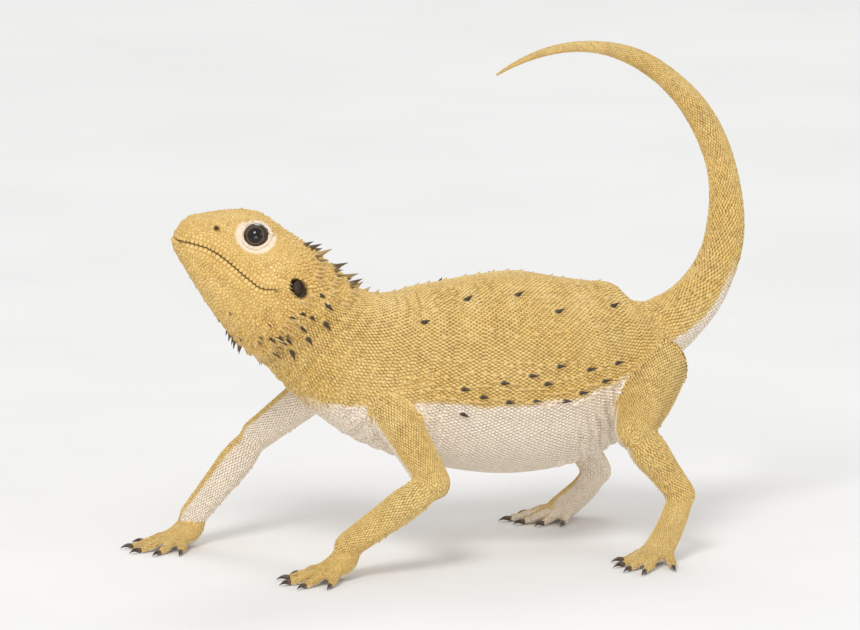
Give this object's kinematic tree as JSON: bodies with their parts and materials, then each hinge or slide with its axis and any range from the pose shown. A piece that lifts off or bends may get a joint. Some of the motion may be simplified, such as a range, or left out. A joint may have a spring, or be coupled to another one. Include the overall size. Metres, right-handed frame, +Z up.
{
  "type": "bearded dragon lizard figure",
  "caption": "Life-size still model of a sandy central bearded dragon standing with its head raised and its tail curled up over its back.",
  "frame": {"origin": "on the floor, under the middle of the model's box", "axes": "+Z up, the lizard faces -X, and its own left side is towards -Y"},
  "size_m": [0.2858, 0.1454, 0.2242],
  "materials": {
    "skin": "matt scaly skin, sandy gold above and cream below",
    "eye": "glossy dark eyeball",
    "claw": "dark horn"
  },
  "bodies": {
    "root": {"head": "skin", "lower_jaw_and_beard": "skin", "neck": "skin", "trunk": "skin", "tail_1": "skin", "tail_2": "skin", "tail_3": "skin", "tail_4": "skin", "upper_arm_left": "skin", "upper_arm_right": "skin", "forearm_left": "skin", "forearm_right": "skin", "hand_left": "skin", "hand_right": "skin", "thigh_left": "skin", "thigh_right": "skin", "shank_left": "skin", "shank_right": "skin", "foot_left": "skin", "foot_right": "skin", "eardrum_left": "skin", "eardrum_right": "skin", "eye_left": "eye", "eye_right": "eye", "claw_hand_left_1": "claw", "claw_hand_left_2": "claw", "claw_hand_left_3": "claw", "claw_hand_left_4": "claw", "claw_hand_left_5": "claw", "claw_hand_right_1": "claw", "claw_hand_right_2": "claw", "claw_hand_right_3": "claw", "claw_hand_right_4": "claw", "claw_hand_right_5": "claw", "claw_foot_left_1": "claw", "claw_foot_left_2": "claw", "claw_foot_left_3": "claw", "claw_foot_left_4": "claw", "claw_foot_left_5": "claw", "claw_foot_right_1": "claw", "claw_foot_right_2": "claw", "claw_foot_right_3": "claw", "claw_foot_right_4": "claw", "claw_foot_right_5": "claw"}
  },
  "joints": []
}
